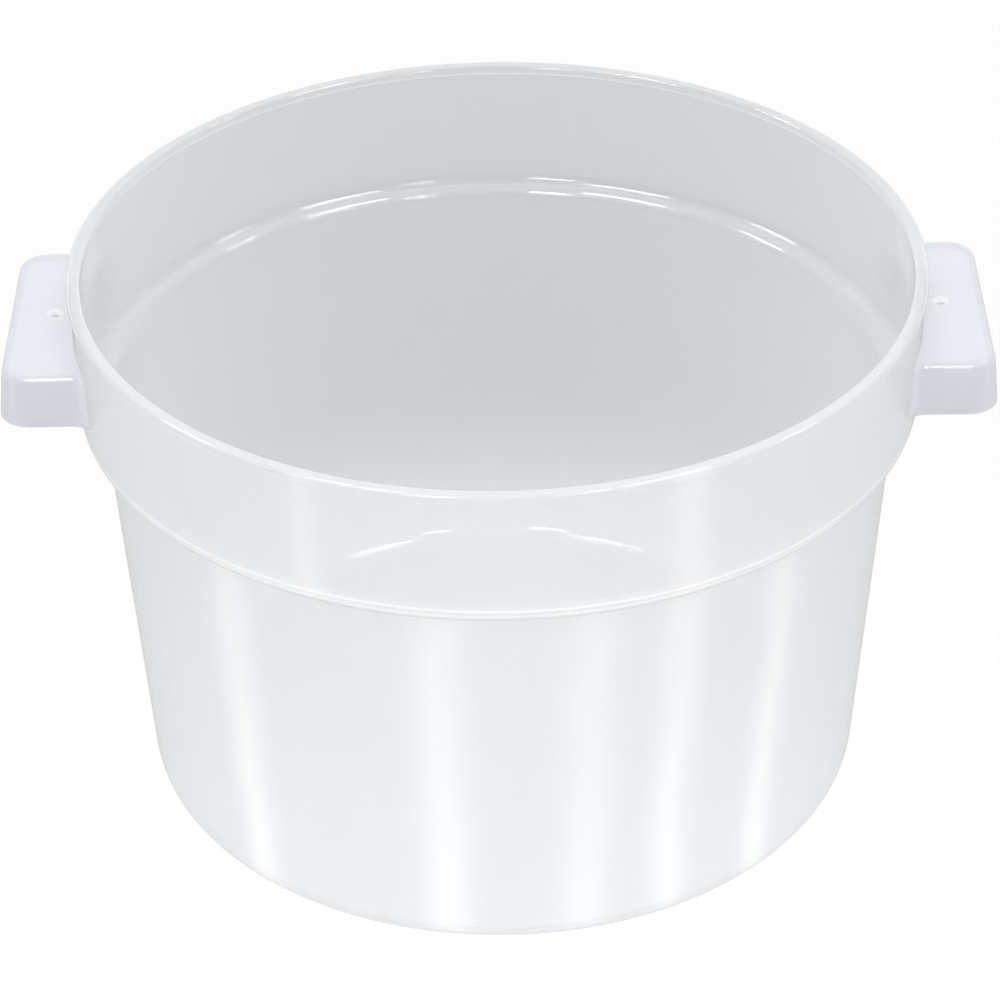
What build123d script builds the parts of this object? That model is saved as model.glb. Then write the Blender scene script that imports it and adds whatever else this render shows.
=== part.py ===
from build123d import *
import os
from math import atan2, degrees, radians, sqrt, tan

os.makedirs("parts", exist_ok=True)

# Round food tub of natural translucent polypropylene, for proofing dough.
# It stands on Z = 0, its axis is Z, and its two hollow handles lie along X.
# Sizes are in millimetres and angles in degrees.

# Driving sizes of the tub
tub_height = 210.0        # table to the top of the bead
rim_diameter = 312.0      # over the bead
base_diameter = 268.8     # where the wall's line meets the table
wall = 2.5                # moulded wall, the same in the floor, sides and handles
corner_radius = 11.5      # outside of the round between floor and wall
collar_height = 53.7      # underside of the ledge to the top of the bead
ledge_width = 8.0         # how far the collar steps out past the wall
neck_radius = 1.6         # inside corner where the wall meets the ledge
ledge_flat = 0.4          # flat that is left under the ledge between its two rounds
collar_draft = 0.9        # the collar leans out by this angle
floor_margin = 1.0        # about the flat that is left between the floor's disc and its corner

# Bead that thickens the rim
bead_width = 5.1
bead_height = 3.4
bead_overhang = 1.0       # past the collar's outside
bead_top_radius = 1.3
bead_foot_bevel = 0.6

# Driving sizes of each handle
handle_drop = 19.8        # top of the bead to the handle's flat top
handle_height = 19.6
handle_length = 93.6      # front to back, at its bottom edge
handle_reach = 25.1       # outside of the collar to its tip, at its bottom edge
handle_draft = 5.0        # its sides spread towards the open bottom by this angle
handle_corner = 11.5      # plan radius of its two outer corners
handle_edge = 3.8         # round along the edge of its flat top
handle_flare = 9.0        # plan radius of the hollow sweep into the collar
flare_bite = 0.8          # how far that sweep runs into the collar
root_run = 4.0            # how far its outline then runs on inside the collar, where it is trimmed
drain_radius = 1.2        # small hole through the flat top
drain_sink_radius = 3.0   # shallow cone round that hole
drain_sink_angle = 120.0
drain_offset = 6.8        # outside of the collar to the middle of the hole

# Places that follow from them
rim_radius = rim_diameter / 2
base_radius = base_diameter / 2
ledge_z = tub_height - collar_height
bead_z = tub_height - bead_height
collar_top_radius = rim_radius - bead_overhang
collar_slope = tan(radians(collar_draft))
collar_foot_radius = collar_top_radius - (bead_z - ledge_z) * collar_slope
neck_outside_radius = collar_foot_radius - ledge_width
ledge_radius = ledge_width - neck_radius - ledge_flat
floor_radius = base_radius - corner_radius - floor_margin
base_seam_z = corner_radius
neck_seam_z = ledge_z - 2 * neck_radius
handle_top_z = tub_height - handle_drop
handle_foot_z = handle_top_z - handle_height


def collar_radius_at(level):
    """Outside radius of the collar at a height."""
    return collar_top_radius - (bead_z - level) * collar_slope


# Outside line of the tub from the middle of its floor to the rim, its rounds in the same order
outside_points = [
    (0, 0),
    (base_radius, 0),
    (neck_outside_radius, ledge_z),
    (collar_foot_radius, ledge_z),
    (collar_radius_at(tub_height), tub_height),
]
outside_rounds = [corner_radius, neck_radius, ledge_radius]

# The moulded wall, turned in one piece from the outside line and its offset
with BuildPart() as shell:
    with BuildSketch(Plane.XZ):
        with BuildLine():
            FilletPolyline(outside_points, radius=outside_rounds)
            offset(amount=wall, side=Side.LEFT)
        make_face()
    revolve(axis=Axis.Z)

# Solids that stand on the table, on the tub's axis
foot_centre = (Align.CENTER, Align.CENTER, Align.MIN)

# The same outside line filled to the axis, which trims the handles to the collar
with BuildPart() as envelope:
    with BuildSketch(Plane.XZ):
        with BuildLine():
            outside = FilletPolyline(outside_points, radius=outside_rounds)
            Polyline(outside @ 1, (0, tub_height), outside @ 0)
        make_face()
    revolve(axis=Axis.Z)

# Floor: the flat disc that the tub stands on
with BuildPart() as floor:
    add(shell.part)
    Cylinder(floor_radius, base_seam_z, align=foot_centre, mode=Mode.INTERSECT)
floor.part.label = "floor"
export_step(floor.part, "parts/floor.step")

# Base corner: the round that carries the floor into the wall
with BuildPart() as base_corner:
    add(shell.part)
    split(bisect_by=Plane.XY.offset(base_seam_z), keep=Keep.BOTTOM)
    Cylinder(floor_radius, base_seam_z, align=foot_centre, mode=Mode.SUBTRACT)
base_corner.part.label = "base_corner"
export_step(base_corner.part, "parts/base_corner.step")

# Body wall: the tapered side of the tub
with BuildPart() as body_wall:
    add(shell.part)
    split(bisect_by=Plane.XY.offset(base_seam_z), keep=Keep.TOP)
    split(bisect_by=Plane.XY.offset(neck_seam_z), keep=Keep.BOTTOM)
body_wall.part.label = "body_wall"
export_step(body_wall.part, "parts/body_wall.step")

# Collar: the ledge and the wider wall above it
with BuildPart() as collar:
    add(shell.part)
    split(bisect_by=Plane.XY.offset(neck_seam_z), keep=Keep.TOP)
    split(bisect_by=Plane.XY.offset(bead_z), keep=Keep.BOTTOM)
collar.part.label = "collar"
export_step(collar.part, "parts/collar.step")

# Rim bead: the thick edge that a lid grips
with BuildPart() as rim_bead:
    with BuildSketch(Plane.XZ) as bead_section:
        with Locations((rim_radius, bead_z)):
            Rectangle(bead_width, bead_height, align=(Align.MAX, Align.MIN))
        fillet(bead_section.vertices().group_by(Axis.Y)[-1], radius=bead_top_radius)
        chamfer(bead_section.vertices().group_by(Axis.Y)[0], length=bead_foot_bevel)
    revolve(axis=Axis.Z)
rim_bead.part.label = "rim_bead"
export_step(rim_bead.part, "parts/rim_bead.step")


# Sides of a handle's plan that run in to the tub's axis, where they get no draft and no round
root_side_count = 2


def handle_block(inset, height):
    """Drafted block of the right-hand handle, drawn in by an inset, from its foot up."""
    half_length = handle_length / 2
    tip = collar_radius_at(handle_foot_z) + handle_reach
    # The sweep's circle bites a little into the collar, so its centre follows from both radii
    sweep_y = half_length + handle_flare
    sweep_reach = collar_radius_at(handle_foot_z) + handle_flare - flare_bite
    sweep_x = sqrt(sweep_reach**2 - sweep_y**2)
    sweep_bearing = degrees(atan2(sweep_y, sweep_x))
    corner = (tip - handle_corner, half_length - handle_corner)
    with BuildPart() as block:
        with BuildSketch(Plane.XY.offset(handle_foot_z)):
            with BuildLine():
                sweep = CenterArc((sweep_x, sweep_y), handle_flare + inset, 270, sweep_bearing - 90)
                turn = CenterArc(corner, handle_corner - inset, 90, -90)
                Line(sweep @ 0, turn @ 0)
                Line(turn @ 1, (tip - inset, 0))
                root = PolarLine(sweep @ 1, root_run, direction=sweep % 1)
                Line(root @ 1, (0, 0))
                mirror(about=Plane.XZ)
            make_face()
        extrude(amount=height)
        sides = block.faces().filter_by(Axis.Z, reverse=True).sort_by(Axis.X)
        draft(sides[root_side_count:], Plane.XY.offset(handle_foot_z), handle_draft)
    return block.part


def rounded_edges(block):
    """Edges of a block's flat top that get the handle's round."""
    return block.faces().sort_by(Axis.Z)[-1].edges().sort_by(Axis.X)[root_side_count:]


# Hollow of the handle, open below and towards the collar
with BuildPart() as hollow:
    add(handle_block(wall, handle_height - wall))
    fillet(rounded_edges(hollow), radius=handle_edge - wall)

# Right handle: a drafted, hollow grip that ends on the collar's outside
with BuildPart() as right_handle:
    add(handle_block(0, handle_height))
    fillet(rounded_edges(right_handle), radius=handle_edge)
    add(envelope.part, mode=Mode.SUBTRACT)
    add(hollow.part, mode=Mode.SUBTRACT)
    with Locations((collar_radius_at(handle_top_z) + drain_offset, 0, handle_top_z)):
        CounterSinkHole(drain_radius, drain_sink_radius, counter_sink_angle=drain_sink_angle)
right_handle.part.label = "right_handle"
export_step(right_handle.part, "parts/right_handle.step")

# Left handle: the same, mirrored across the tub
with BuildPart() as left_handle:
    mirror(right_handle.part, about=Plane.YZ)
left_handle.part.label = "left_handle"
export_step(left_handle.part, "parts/left_handle.step")
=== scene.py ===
# Looks of the round dough tub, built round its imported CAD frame. Metres, +X through the right handle, +Z up.
import math

import bmesh
import bpy
from mathutils import Matrix, Vector


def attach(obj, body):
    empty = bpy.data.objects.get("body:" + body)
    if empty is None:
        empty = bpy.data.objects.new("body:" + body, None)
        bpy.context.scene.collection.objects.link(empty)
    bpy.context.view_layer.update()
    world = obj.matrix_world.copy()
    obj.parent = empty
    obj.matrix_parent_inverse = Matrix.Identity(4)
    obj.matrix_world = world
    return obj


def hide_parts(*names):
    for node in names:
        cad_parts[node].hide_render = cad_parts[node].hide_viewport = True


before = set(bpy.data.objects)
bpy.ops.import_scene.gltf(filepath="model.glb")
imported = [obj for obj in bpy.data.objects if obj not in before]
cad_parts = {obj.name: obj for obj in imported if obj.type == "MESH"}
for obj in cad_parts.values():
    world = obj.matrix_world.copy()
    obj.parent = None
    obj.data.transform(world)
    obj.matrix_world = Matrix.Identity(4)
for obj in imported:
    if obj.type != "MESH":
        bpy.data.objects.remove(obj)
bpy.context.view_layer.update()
MM = 0.001

# Driving sizes of the moulding, as in the CAD
TUB_HEIGHT = 210.0 * MM
RIM_RADIUS = 156.0 * MM
BASE_RADIUS = 134.4 * MM
WALL = 2.5 * MM
CORNER_RADIUS = 11.5 * MM
LEDGE_Z = TUB_HEIGHT - 53.7 * MM
LEDGE_WIDTH = 8.0 * MM
NECK_RADIUS = 1.6 * MM
LEDGE_RADIUS = 6.0 * MM
COLLAR_SLOPE = math.tan(math.radians(0.9))
BEAD_WIDTH = 5.1 * MM
BEAD_HEIGHT = 3.4 * MM
BEAD_OVERHANG = 1.0 * MM
BEAD_TOP_RADIUS = 1.3 * MM
BEAD_FOOT_RADIUS = 0.6 * MM
BEAD_Z = TUB_HEIGHT - BEAD_HEIGHT

# Smoothness of the turned shell, and the angle above which an edge stays sharp
TURN_STEPS = 360
ROUND_STEP = math.radians(7.5)
FEWEST_ROUND_STEPS = 3
SHARP_ANGLE = math.radians(40)

# A point of a section nearer the axis than this lies on it
ON_AXIS = 1e-9

# How near the points of a CAD handle are welded, and how near its seat lies to the collar
WELD_DISTANCE = 0.001 * MM
SEAT_TOLERANCE = 0.03 * MM


def collar_radius_at(level):
    """Outside radius of the collar at a height."""
    return RIM_RADIUS - BEAD_OVERHANG - (BEAD_Z - level) * COLLAR_SLOPE


def rounded_corner(before, corner, after, radius):
    """Centre, first angle and turn of the round between two straight lines in the section plane."""
    back = (before - corner).normalized()
    ahead = (after - corner).normalized()
    half = back.angle(ahead) / 2
    middle = (back + ahead).normalized()
    centre = corner + middle * (radius / math.sin(half))
    start = corner + back * (radius / math.tan(half)) - centre
    turn = math.pi - 2 * half
    side = 1 if back.cross(ahead) < 0 else -1
    return centre, math.atan2(start.y, start.x), turn * side


def round_points(centre, radius, start, turn):
    """Points along one round of a section."""
    steps = max(FEWEST_ROUND_STEPS, math.ceil(abs(turn) / ROUND_STEP))
    angles = [start + turn * i / steps for i in range(steps + 1)]
    return [centre + radius * Vector((math.cos(a), math.sin(a))) for a in angles]


def shell_section():
    """Closed section of the tub: up its outside, over the bead and down its inside, as (radius, height)."""
    collar_foot = collar_radius_at(LEDGE_Z)
    corners = [
        Vector((0, 0)),
        Vector((BASE_RADIUS, 0)),
        Vector((collar_foot - LEDGE_WIDTH, LEDGE_Z)),
        Vector((collar_foot, LEDGE_Z)),
        Vector((collar_radius_at(TUB_HEIGHT), TUB_HEIGHT)),
    ]
    radii = [CORNER_RADIUS, NECK_RADIUS, LEDGE_RADIUS]
    outside = [corners[0]]
    inside = [Vector((0, WALL))]
    for i, radius in enumerate(radii):
        centre, start, turn = rounded_corner(corners[i], corners[i + 1], corners[i + 2], radius)
        inner_radius = radius - WALL if turn > 0 else radius + WALL
        outside += round_points(centre, radius, start, turn)
        inside += round_points(centre, inner_radius, start, turn)
    return outside + bead_section() + inside[::-1]


def bead_section():
    """The bead's outline from the collar's outside over its top to the collar's inside."""
    collar = collar_radius_at(BEAD_Z)
    outline = [
        Vector((collar, BEAD_Z)),
        Vector((RIM_RADIUS, BEAD_Z)),
        Vector((RIM_RADIUS, TUB_HEIGHT)),
        Vector((RIM_RADIUS - BEAD_WIDTH, TUB_HEIGHT)),
        Vector((RIM_RADIUS - BEAD_WIDTH, BEAD_Z)),
        Vector((collar - WALL, BEAD_Z)),
    ]
    radii = [BEAD_FOOT_RADIUS, BEAD_TOP_RADIUS, BEAD_TOP_RADIUS, BEAD_FOOT_RADIUS]
    points = [outline[0]]
    for i, radius in enumerate(radii):
        centre, start, turn = rounded_corner(outline[i], outline[i + 1], outline[i + 2], radius)
        points += round_points(centre, radius, start, turn)
    return points + [outline[-1]]


def turned(name, section):
    """Mesh of a section turned about Z; its first and last points lie on the axis."""
    mesh = bpy.data.meshes.new(name)
    bm = bmesh.new()
    rings = []
    for radius, height in section:
        if radius < ON_AXIS:
            rings.append([bm.verts.new((0, 0, height))])
            continue
        ring = []
        for step in range(TURN_STEPS):
            angle = 2 * math.pi * step / TURN_STEPS
            ring.append(bm.verts.new((radius * math.cos(angle), radius * math.sin(angle), height)))
        rings.append(ring)
    for low, high in zip(rings, rings[1:]):
        for step in range(TURN_STEPS):
            after = (step + 1) % TURN_STEPS
            if len(low) == 1:
                bm.faces.new((low[0], high[after], high[step]))
            elif len(high) == 1:
                bm.faces.new((low[step], low[after], high[0]))
            else:
                bm.faces.new((low[step], low[after], high[after], high[step]))
    bmesh.ops.recalc_face_normals(bm, faces=bm.faces)
    bm.to_mesh(mesh)
    bm.free()
    return mesh


def add_piece(name, mesh, material, nodes):
    """Puts a finished mesh in the scene in place of its CAD nodes."""
    mesh.polygons.foreach_set("use_smooth", [True] * len(mesh.polygons))
    mesh.set_sharp_from_angle(angle=SHARP_ANGLE)
    mesh.materials.clear()
    mesh.materials.append(material)
    piece = bpy.data.objects.new(name, mesh)
    bpy.context.collection.objects.link(piece)
    weighted = piece.modifiers.new("even_normals", "WEIGHTED_NORMAL")
    weighted.keep_sharp = True
    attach(piece, "root")
    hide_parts(*nodes)
    return piece


def handle_mesh(node):
    """Skin of a CAD handle, welded and left open where it grows out of the collar."""
    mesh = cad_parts[node].data.copy()
    bm = bmesh.new()
    bm.from_mesh(mesh)
    bmesh.ops.remove_doubles(bm, verts=bm.verts, dist=WELD_DISTANCE)
    seat = []
    for face in bm.faces:
        middle = face.calc_center_median()
        gaps = [abs(math.hypot(v.co.x, v.co.y) - collar_radius_at(v.co.z)) for v in face.verts]
        on_collar = max(gaps) < SEAT_TOLERANCE
        inward = face.normal.x * middle.x + face.normal.y * middle.y < 0
        if on_collar and inward:
            seat.append(face)
    bmesh.ops.delete(bm, geom=seat, context="FACES")
    bm.to_mesh(mesh)
    bm.free()
    return mesh


def node_tree(owner):
    """Empties a tree and returns functions that add a node and a sum to it."""
    owner.use_nodes = True
    tree = owner.node_tree
    tree.nodes.clear()

    def put(value, socket):
        if isinstance(value, bpy.types.NodeSocket):
            tree.links.new(value, socket)
        else:
            socket.default_value = value

    def add(kind, *values, **named):
        node = tree.nodes.new(kind)
        for i, value in enumerate(values):
            put(value, node.inputs[i])
        for key, value in named.items():
            put(value, node.inputs[key.replace("_", " ")])
        return node

    def calc(operation, *values):
        node = add("ShaderNodeMath", *values)
        node.operation = operation
        return node.outputs["Value"]

    return add, calc


# Natural polypropylene: the share of milk that one face of the wall shows when met squarely
TUB_MILK = 0.36
GRIP_MILK = 0.46

# Colours of the milk, darker and bluer in the grips as painted shade of their hollow, and of the clear part
PALE = (0.935, 0.955, 0.965, 1)
PALER = (0.96, 0.975, 0.985, 1)
GRIP_SHADED_PALE = (0.915, 0.925, 0.965, 1)
GRIP_SHADED_PALER = (0.935, 0.945, 0.98, 1)
CLEAR = (0.985, 0.99, 0.995, 1)
WHITE = (1, 1, 1, 1)

# Gloss: its colour, the plastic's refractive index, and the least and most roughness
GLOSS = (0.65, 0.65, 0.65, 1)
PLASTIC_IOR = 1.49
SATIN_ROUGHNESS = (0.03, 0.06)

# Share of the milk that passes light on through the wall
THROUGH_SHARE = 0.5

# Least cosine of the slant that still adds milk, and the blend at which Layer Weight gives 1 minus it
STEEPEST = 0.15
EVEN_BLEND = 0.5

# Noise that clouds the milk, and the fine ripple of the surface
CLOUD_SCALE = 14.0
CLOUD_DETAIL = 3.0
RIPPLE_SCALE = 260.0
RIPPLE_DETAIL = 2.0
RIPPLE_STRENGTH = 0.25
RIPPLE_DEPTH = 0.04 * MM
NOISE_ROUGHNESS = 0.5
NOISE_MIDDLE = 0.5

# Painted light streaks down the outside, whiter bands of painted highlight: bearing from the front and half
# width in degrees, and strength
BODY_PAINTED_STREAKS = [
    (-41.0, 3.4, 0.95),
    (-9.2, 4.0, 0.65),
    (12.4, 3.8, 0.5),
    (25.4, 3.2, 0.7),
    (42.8, 3.0, 0.95),
]
COLLAR_PAINTED_STREAKS = [(-25.3, 2.0, 0.4), (24.6, 3.0, 0.5)]

# Share of painted white in a painted light streak of strength 1, and how far in radians the clouds move a
# streak aside
PAINTED_STREAK_SHARE = 0.6
PAINTED_STREAK_WANDER = 0.06

# How far a place faces outward, times its radius, where the painted streaks and ledge highlights start and
# where they are full
SKIN_START = 0.06
SKIN_FULL = 0.125

# Painted highlights along the ledge's outer round, whiter lines that stand in for its bright edge light:
# height, half width and strength, and how much of that strength is even and how much comes and goes
PAINTED_LEDGE_HIGHLIGHTS = [(LEDGE_Z + 6.4 * MM, 0.60 * MM, 0.95), (LEDGE_Z + 4.1 * MM, 0.80 * MM, 0.80)]
EVEN_HIGHLIGHT = 0.7
UNEVEN_HIGHLIGHT = 0.6

# Ring round the sunk drain hole, painted white as a painted highlight
HOLE_X = 161.542 * MM
PAINTED_RING_RADIUS = 3.1 * MM
PAINTED_RING_MILK = 0.9


def blend(add, share, first, second):
    """Surface that shows the first shader, and the second by a share."""
    return add("ShaderNodeMixShader", share, first, second).outputs["Shader"]


def tinted(add, share, first, second):
    """Colour between two others."""
    node = add("ShaderNodeMix")
    node.data_type = "RGBA"
    for name, value in (("Factor", share), ("A", first), ("B", second)):
        socket = next(s for s in node.inputs if s.name == name and s.enabled)
        if isinstance(value, bpy.types.NodeSocket):
            node.id_data.links.new(value, socket)
        else:
            socket.default_value = value
    return next(s for s in node.outputs if s.enabled)


def noise(add, place, scale, detail):
    """Soft noise between 0 and 1."""
    node = add("ShaderNodeTexNoise", Vector=place, Scale=scale, Detail=detail, Roughness=NOISE_ROUGHNESS)
    return node.outputs["Fac"]


def painted_light_streaks(add, calc, place, level, wander):
    """Strength of the painted light streaks at a place: soft bands of painted highlight at set bearings that
    wander a little.
    """
    parts = add("ShaderNodeSeparateXYZ", place).outputs
    bearing = calc("ARCTAN2", parts["X"], calc("MULTIPLY", parts["Y"], -1.0))
    bearing = calc("ADD", bearing, calc("MULTIPLY", calc("SUBTRACT", wander, NOISE_MIDDLE), PAINTED_STREAK_WANDER))
    above = add("ShaderNodeMapRange", level, LEDGE_Z - NECK_RADIUS, LEDGE_Z + LEDGE_RADIUS).outputs["Result"]
    total = 0.0
    for painted_light, where in ((BODY_PAINTED_STREAKS, calc("SUBTRACT", 1.0, above)), (COLLAR_PAINTED_STREAKS, above)):
        for middle, spread, strength in painted_light:
            away = calc("DIVIDE", calc("SUBTRACT", bearing, math.radians(middle)), math.radians(spread))
            band = calc("EXPONENT", calc("MULTIPLY", calc("MULTIPLY", away, away), -1.0))
            total = calc("ADD", total, calc("MULTIPLY", calc("MULTIPLY", band, strength), where))
    return total


def ledge_highlight_strength(calc, level, unevenness):
    """Strength of the painted ledge highlights at a height, a little uneven along their length."""
    total = 0.0
    for middle, spread, strength in PAINTED_LEDGE_HIGHLIGHTS:
        away = calc("DIVIDE", calc("SUBTRACT", level, middle), spread)
        line = calc("EXPONENT", calc("MULTIPLY", calc("MULTIPLY", away, away), -1.0))
        total = calc("ADD", total, calc("MULTIPLY", line, strength))
    return calc("MULTIPLY", total, calc("ADD", EVEN_HIGHLIGHT, calc("MULTIPLY", unevenness, UNEVEN_HIGHLIGHT)))


def outer_skin(add, calc, place):
    """1 on the wall's outside where it is met from outside, fading to 0 round the base corner."""
    flat = add("ShaderNodeVectorMath", place, (1, 1, 0))
    flat.operation = "MULTIPLY"
    normal = add("ShaderNodeNewGeometry").outputs["Normal"]
    facing = add("ShaderNodeVectorMath", flat.outputs["Vector"], normal)
    facing.operation = "DOT_PRODUCT"
    fade = add("ShaderNodeMapRange", facing.outputs["Value"], SKIN_START, SKIN_FULL)
    return fade.outputs["Result"]


def polypropylene(name, pale, paler, milk, painted_streaks):
    """Milky, partly see-through and glossy plastic, with the tub's painted light streaks and ledge highlights,
    or the grips' drain ring painted white.
    """
    material = bpy.data.materials.new(name)
    add, calc = node_tree(material)
    place = add("ShaderNodeTexCoord").outputs["Object"]
    level = add("ShaderNodeSeparateXYZ", place).outputs["Z"]
    cloud = noise(add, place, CLOUD_SCALE, CLOUD_DETAIL)
    tint = tinted(add, cloud, pale, paler)
    ripple = noise(add, place, RIPPLE_SCALE, RIPPLE_DETAIL)
    bumps = add("ShaderNodeBump", Strength=RIPPLE_STRENGTH, Distance=RIPPLE_DEPTH, Height=ripple)
    bump = bumps.outputs["Normal"]
    smooth, rough = SATIN_ROUGHNESS
    satin = add("ShaderNodeMapRange", Value=cloud, To_Min=smooth, To_Max=rough).outputs["Result"]
    if not painted_streaks:
        # The sunk ring round the drain hole is painted white and more opaque: a painted highlight
        parts = add("ShaderNodeSeparateXYZ", place).outputs
        along = calc("SUBTRACT", calc("ABSOLUTE", parts["X"]), HOLE_X)
        across = parts["Y"]
        squares = calc("ADD", calc("MULTIPLY", along, along), calc("MULTIPLY", across, across))
        away = calc("SQRT", squares)
        ring = calc("LESS_THAN", away, PAINTED_RING_RADIUS)
        tint = tinted(add, ring, tint, WHITE)
        milk = calc("MAXIMUM", calc("MULTIPLY", ring, PAINTED_RING_MILK), milk)
    reflect = add("ShaderNodeBsdfDiffuse", Color=tint, Normal=bump).outputs["BSDF"]
    through = add("ShaderNodeBsdfTranslucent", Color=tint, Normal=bump).outputs["BSDF"]
    clear = add("ShaderNodeBsdfTransparent", Color=CLEAR).outputs["BSDF"]
    # Light that crosses the wall at a slant meets more milk
    slant = calc("SUBTRACT", 1.0, add("ShaderNodeLayerWeight", Blend=EVEN_BLEND).outputs["Facing"])
    depth = calc("DIVIDE", 1.0, calc("MAXIMUM", slant, STEEPEST))
    share = calc("POWER", calc("SUBTRACT", 1.0, milk), depth)
    body = blend(add, share, blend(add, THROUGH_SHARE, reflect, through), clear)
    # Painted highlights: whiter streaks down the outside and lines along the ledge, as a white diffuse layer
    if painted_streaks:
        painted_light = calc("MULTIPLY", painted_light_streaks(add, calc, place, level, cloud), PAINTED_STREAK_SHARE)
        painted_light = calc("MINIMUM", calc("ADD", painted_light, ledge_highlight_strength(calc, level, cloud)), 1.0)
        painted_white = add("ShaderNodeBsdfDiffuse", Color=WHITE, Normal=bump).outputs["BSDF"]
        body = blend(add, calc("MULTIPLY", painted_light, outer_skin(add, calc, place)), body, painted_white)
    gloss = add("ShaderNodeBsdfGlossy", Color=GLOSS, Roughness=satin, Normal=bump).outputs["BSDF"]
    # A flat wall never reflects totally from within, because light bends as it enters
    inside = add("ShaderNodeNewGeometry").outputs["Backfacing"]
    index = add("ShaderNodeMapRange", Value=inside, To_Min=PLASTIC_IOR, To_Max=1 / PLASTIC_IOR)
    edge = add("ShaderNodeFresnel", IOR=index.outputs["Result"], Normal=bump).outputs["Fac"]
    add("ShaderNodeOutputMaterial", Surface=blend(add, edge, body, gloss))
    return material


# Strength of the studio's even light
SOFT_LIGHT = 0.95

# A ray with less transparent depth than this has crossed no plastic yet
FIRST_SURFACE = 0.5


def white_seen(add, calc):
    """1 for rays that meet a surface directly, in gloss or through glass, and 0 through the plastic."""
    path = add("ShaderNodeLightPath").outputs
    uncrossed = calc("LESS_THAN", path["Transparent Depth"], FIRST_SURFACE)
    direct = calc("MULTIPLY", path["Is Camera Ray"], uncrossed)
    sharp = calc("MAXIMUM", path["Is Glossy Ray"], path["Is Transmission Ray"])
    return calc("MAXIMUM", direct, calc("MULTIPLY", sharp, calc("SUBTRACT", 1.0, path["Is Diffuse Ray"])))


# White sheet under the tub, which fades into a greyer table
SHEET_CENTRE = (0.0, -0.10, 0.0)
SHEET_RADIUS = 0.20
SHEET_END = 0.34
SHEET_WHITE = (0.92, 0.92, 0.92, 1)
TABLE_GREY = (0.30, 0.30, 0.31, 1)
TABLE_REACH = 6.0
TABLE_DROP = 0.2 * MM
TABLE_ROUGHNESS = (0.55, 0.65)
GRAIN_SCALE = 30.0
GRAIN_DETAIL = 2.0

# Share of plain white in the table where it is seen directly; the rest shows the tub's shadow
TABLE_WHITE_SHARE = 0.97


def floor_material():
    """Pale table that is seen white and keeps the tub's shadow."""
    material = bpy.data.materials.new("white_table")
    add, calc = node_tree(material)
    place = add("ShaderNodeTexCoord").outputs["Object"]
    grain = noise(add, place, GRAIN_SCALE, GRAIN_DETAIL)
    least, most = TABLE_ROUGHNESS
    rough = add("ShaderNodeMapRange", Value=grain, To_Min=least, To_Max=most).outputs["Result"]
    reach = add("ShaderNodeVectorMath", place, SHEET_CENTRE)
    reach.operation = "DISTANCE"
    fade = add("ShaderNodeMapRange", Value=reach.outputs["Value"], From_Min=SHEET_RADIUS, From_Max=SHEET_END)
    fade.interpolation_type = "SMOOTHSTEP"
    shade = tinted(add, fade.outputs["Result"], SHEET_WHITE, TABLE_GREY)
    lit = add("ShaderNodeBsdfPrincipled", Base_Color=shade, Roughness=rough).outputs["BSDF"]
    white = add("ShaderNodeEmission", Color=WHITE, Strength=1.0).outputs["Emission"]
    share = calc("MULTIPLY", white_seen(add, calc), TABLE_WHITE_SHARE)
    add("ShaderNodeOutputMaterial", Surface=blend(add, share, lit, white))
    return material


def build_floor():
    """Flat table under the tub."""
    mesh = bpy.data.meshes.new("table")
    bm = bmesh.new()
    bmesh.ops.create_grid(bm, x_segments=1, y_segments=1, size=TABLE_REACH)
    bm.to_mesh(mesh)
    bm.free()
    mesh.materials.append(floor_material())
    table = bpy.data.objects.new("table", mesh)
    table.location.z = -TABLE_DROP
    bpy.context.collection.objects.link(table)


def build_world():
    """Even light from all round, and plain white where it is seen directly."""
    world = bpy.data.worlds.new("studio")
    bpy.context.scene.world = world
    add, calc = node_tree(world)
    soft = add("ShaderNodeBackground", Color=WHITE, Strength=SOFT_LIGHT).outputs["Background"]
    white = add("ShaderNodeBackground", Color=WHITE, Strength=1.0).outputs["Background"]
    add("ShaderNodeOutputWorld", Surface=blend(add, white_seen(add, calc), soft, white))


def softbox(name, place, aim, width, height, power, gloss_only=False):
    """Rectangular lamp that faces a point, and shows either in the gloss alone or everywhere else."""
    data = bpy.data.lights.new(name, "AREA")
    data.shape = "RECTANGLE"
    data.size = width
    data.size_y = height
    data.energy = power
    lamp = bpy.data.objects.new(name, data)
    lamp.location = place
    lamp.rotation_euler = (Vector(aim) - Vector(place)).to_track_quat("-Z", "Y").to_euler()
    lamp.visible_diffuse = not gloss_only
    lamp.visible_transmission = not gloss_only
    lamp.visible_glossy = gloss_only
    lamp.visible_camera = False
    bpy.context.collection.objects.link(lamp)
    return lamp


# Soft lamps: place, the point that each faces, width, height and power
TUB_MIDDLE = (0, 0, 0.12)
SOFT_LAMPS = [
    ("top", (0.0, 0.15, 1.45), TUB_MIDDLE, 1.0, 1.0, 4.4),
    ("high", (0.0, -1.0, 1.0), TUB_MIDDLE, 0.8, 0.5, 2.6),
    ("front", (0.0, -1.1, 0.30), (0, 0, 0.06), 0.9, 0.3, 1.0),
    ("left", (-1.2, -0.35, 0.75), TUB_MIDDLE, 0.4, 0.6, 0.7),
    ("right", (1.2, -0.35, 0.75), TUB_MIDDLE, 0.4, 0.6, 0.7),
]

# Round lamps that show only in gloss, mainly as glints along the far ledge: place, diameter, radiance, and
# whether a flag keeps the lamp off the grips, whose flat tops would mirror it whole
FAR_LEDGE = (0.0, 0.145, 0.156)
GLINT_LAMPS = [
    ("near_right", (0.37, -0.67, 1.22), 0.19, 38.0, False),
    ("near_left", (-0.27, -0.70, 1.23), 0.23, 44.0, False),
    ("middle_right", (0.46, 0.09, 1.46), 0.30, 38.0, True),
    ("middle_left", (-0.40, 0.04, 1.48), 0.32, 34.0, True),
    ("wide_right", (0.76, 0.31, 1.24), 0.18, 26.0, True),
    ("wide_left", (-0.78, 0.36, 1.21), 0.24, 38.0, True),
]


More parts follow.
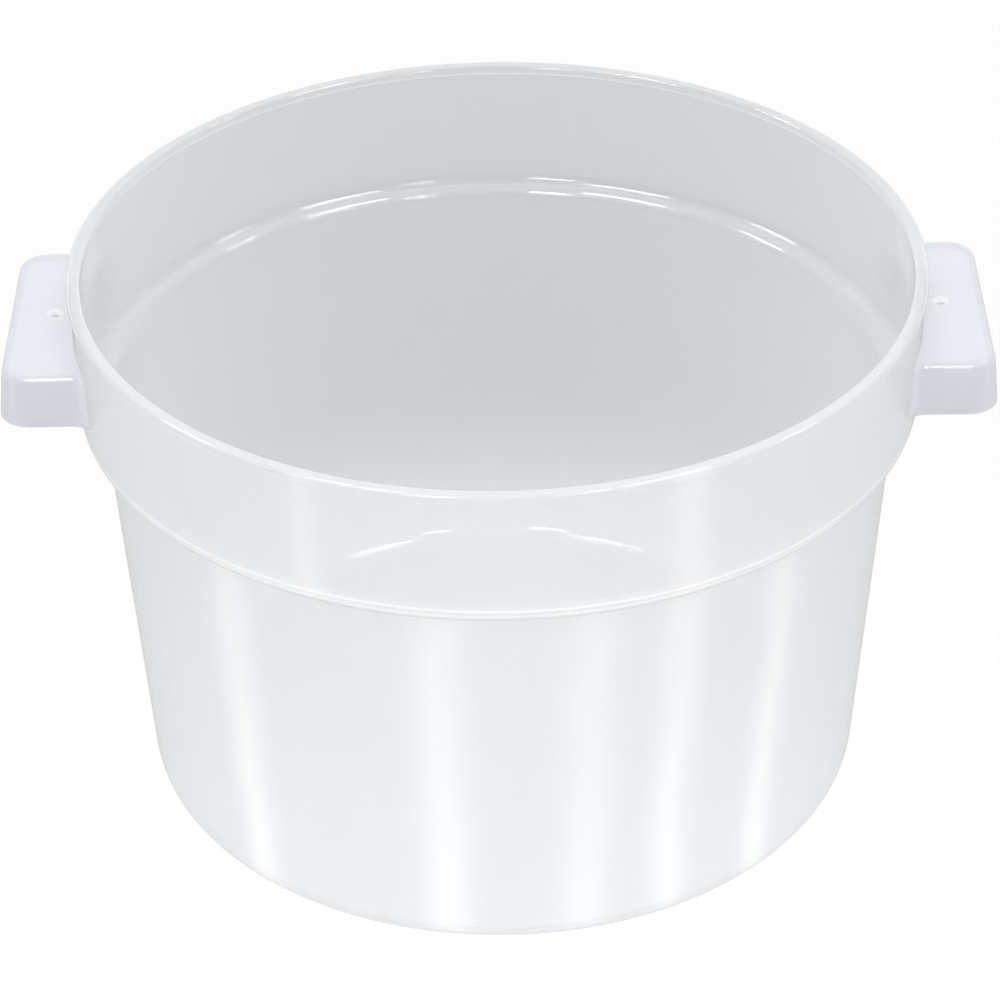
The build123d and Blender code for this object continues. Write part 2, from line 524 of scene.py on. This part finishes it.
def build_lamps(tub):
    """Soft lamps for the light and round ones for the glints."""
    tub_alone = bpy.data.collections.new("tub_alone")
    tub_alone.objects.link(tub)
    for lamp in SOFT_LAMPS:
        softbox(*lamp)
    for name, place, diameter, radiance, flagged in GLINT_LAMPS:
        area = math.pi * diameter ** 2 / 4
        power = radiance * math.pi * area
        lamp = softbox(name, place, FAR_LEDGE, diameter, diameter, power, gloss_only=True)
        lamp.data.shape = "DISK"
        if flagged:
            lamp.light_linking.receiver_collection = tub_alone


# Camera, fitted to the photograph
CAMERA_DISTANCE = 1.5
CAMERA_PITCH = 0.587
CAMERA_ROLL = -0.014
CAMERA_TARGET = Vector((-0.00016, 0, 0.105459))
FOCAL_PIXELS = 3980.24
PHOTO_PIXELS = 1000.0
SENSOR_WIDTH = 36.0


def build_camera():
    """The photograph's camera."""
    data = bpy.data.cameras.new("camera")
    data.sensor_fit = "HORIZONTAL"
    data.sensor_width = SENSOR_WIDTH
    data.lens = FOCAL_PIXELS / PHOTO_PIXELS * SENSOR_WIDTH
    camera = bpy.data.objects.new("camera", data)
    back = Vector((0, -math.cos(CAMERA_PITCH), math.sin(CAMERA_PITCH)))
    camera.location = CAMERA_TARGET + CAMERA_DISTANCE * back
    view = (-back).to_track_quat("-Z", "Y").to_matrix()
    camera.rotation_euler = (view @ Matrix.Rotation(CAMERA_ROLL, 3, "Z")).to_euler()
    bpy.context.collection.objects.link(camera)
    bpy.context.scene.camera = camera


bpy.context.scene.view_settings.view_transform = "Standard"
plastic = polypropylene("natural_polypropylene", PALE, PALER, TUB_MILK, painted_streaks=True)
# The grips' copy of the plastic is darker and bluer: painted shade
shaded_grip_plastic = polypropylene("shaded_grip_polypropylene", GRIP_SHADED_PALE, GRIP_SHADED_PALER, GRIP_MILK, painted_streaks=False)
shell_nodes = ["floor", "base_corner", "body_wall", "collar", "rim_bead"]
tub = add_piece("tub", turned("tub", shell_section()), plastic, shell_nodes)
add_piece("left_grip", handle_mesh("left_handle"), shaded_grip_plastic, ["left_handle"])
add_piece("right_grip", handle_mesh("right_handle"), shaded_grip_plastic, ["right_handle"])
build_floor()
build_world()
build_camera()
build_lamps(tub)
